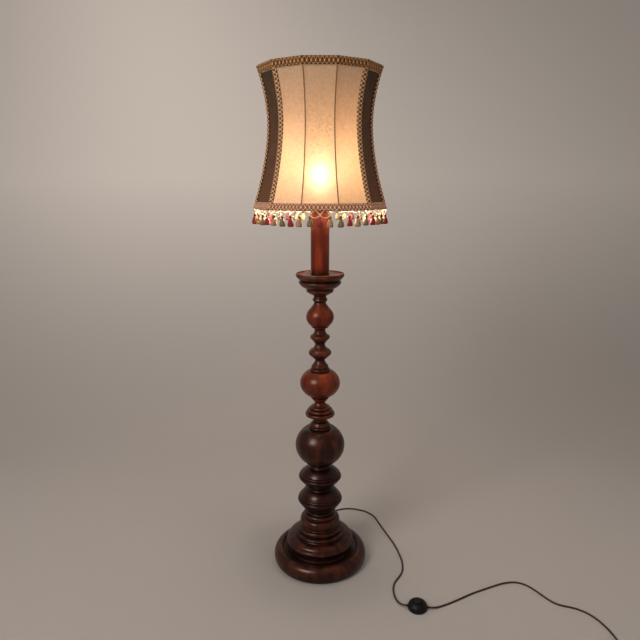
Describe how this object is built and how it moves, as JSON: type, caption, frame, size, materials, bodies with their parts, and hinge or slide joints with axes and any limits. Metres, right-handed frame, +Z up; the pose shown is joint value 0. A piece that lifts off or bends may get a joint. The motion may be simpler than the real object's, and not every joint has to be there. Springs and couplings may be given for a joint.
{
  "type": "candlestick floor lamp",
  "caption": "Turned wooden floor lamp on a round base, with a waisted panelled shade edged with braid and tassels, and a foot switch in its flex.",
  "frame": {"origin": "centre of the base's underside, on the floor", "axes": "+Z up along the column, -Y towards the camera, +X to the right in the picture"},
  "size_m": [1.1065, 0.8823, 1.6795],
  "materials": {
    "dark_wood": "dark stained wood, semi-gloss varnish",
    "red_wood": "red-brown stained wood, semi-gloss varnish",
    "felt": "dark green felt",
    "cast_iron": "rough casting",
    "steel": "plain steel",
    "black_plastic": "satin black",
    "porcelain": "glazed",
    "bulb_glass": "frosted",
    "brass": "satin",
    "parchment": "translucent parchment",
    "brown_fabric": "dark brown cloth",
    "braid": "woven braid",
    "dark_tape": "narrow dark tape",
    "fringe": "silk tassels",
    "flex": "dark brown sheath"
  },
  "bodies": {
    "lamp": {"base_felt": "felt", "ballast_disc": "cast_iron", "base_ring": "dark_wood", "base_foot": "dark_wood", "pedestal": "dark_wood", "lower_disc": "dark_wood", "upper_disc": "dark_wood", "big_ball": "red_wood", "big_ball_collar": "red_wood", "ringed_disc": "red_wood", "middle_ball": "red_wood", "middle_ball_collar": "red_wood", "lower_spool": "dark_wood", "upper_spool": "dark_wood", "upper_ball": "red_wood", "neck_ring": "red_wood", "bobeche_cup": "dark_wood", "bobeche_dish": "dark_wood", "candle_sleeve": "red_wood", "sleeve_cap": "dark_wood", "lamp_tube": "steel", "tube_nuts": "steel", "tube_washers": "steel", "cord_gland": "black_plastic", "inner_flex": "flex", "holder_cap": "black_plastic", "holder_insert": "porcelain", "holder_shell": "black_plastic", "shade_clamp_ring": "black_plastic", "bulb_glass": "bulb_glass", "bulb_cap": "brass", "switch_base": "black_plastic", "switch_cover": "black_plastic", "switch_spring": "steel", "switch_contacts": "brass", "flex_to_switch": "flex", "flex_to_wall": "flex", "flex_coil": "flex", "plug_body": "black_plastic", "plug_pins": "brass"},
    "shade": {"shade_rings": "steel", "shade_ribs": "steel", "shade_spider": "steel", "parchment_panel_1": "parchment", "parchment_panel_2": "parchment", "parchment_panel_3": "parchment", "parchment_panel_4": "parchment", "parchment_panel_5": "parchment", "parchment_panel_6": "parchment", "parchment_panel_7": "parchment", "parchment_panel_8": "parchment", "parchment_panel_9": "parchment", "fabric_panel_1": "brown_fabric", "fabric_panel_2": "brown_fabric", "fabric_panel_3": "brown_fabric", "rim_braids": "braid", "rib_braids": "braid", "seam_tapes": "dark_tape", "fringe": "fringe"},
    "switch_button": {"switch_button": "black_plastic"}
  },
  "joints": [
    {"name": "shade_turn", "type": "hinge", "parent": "lamp", "child": "shade", "pos_m": [0, 0, 1.2855], "axis": [0, 0, 1], "continuous": true},
    {"name": "button_press", "type": "slide", "parent": "lamp", "child": "switch_button", "axis": [0, 0, -1], "range_m": [0, 0.0035], "stiffness_N_per_m": 500, "springref_m": -0.003, "deforming": ["switch_spring"]}
  ]
}
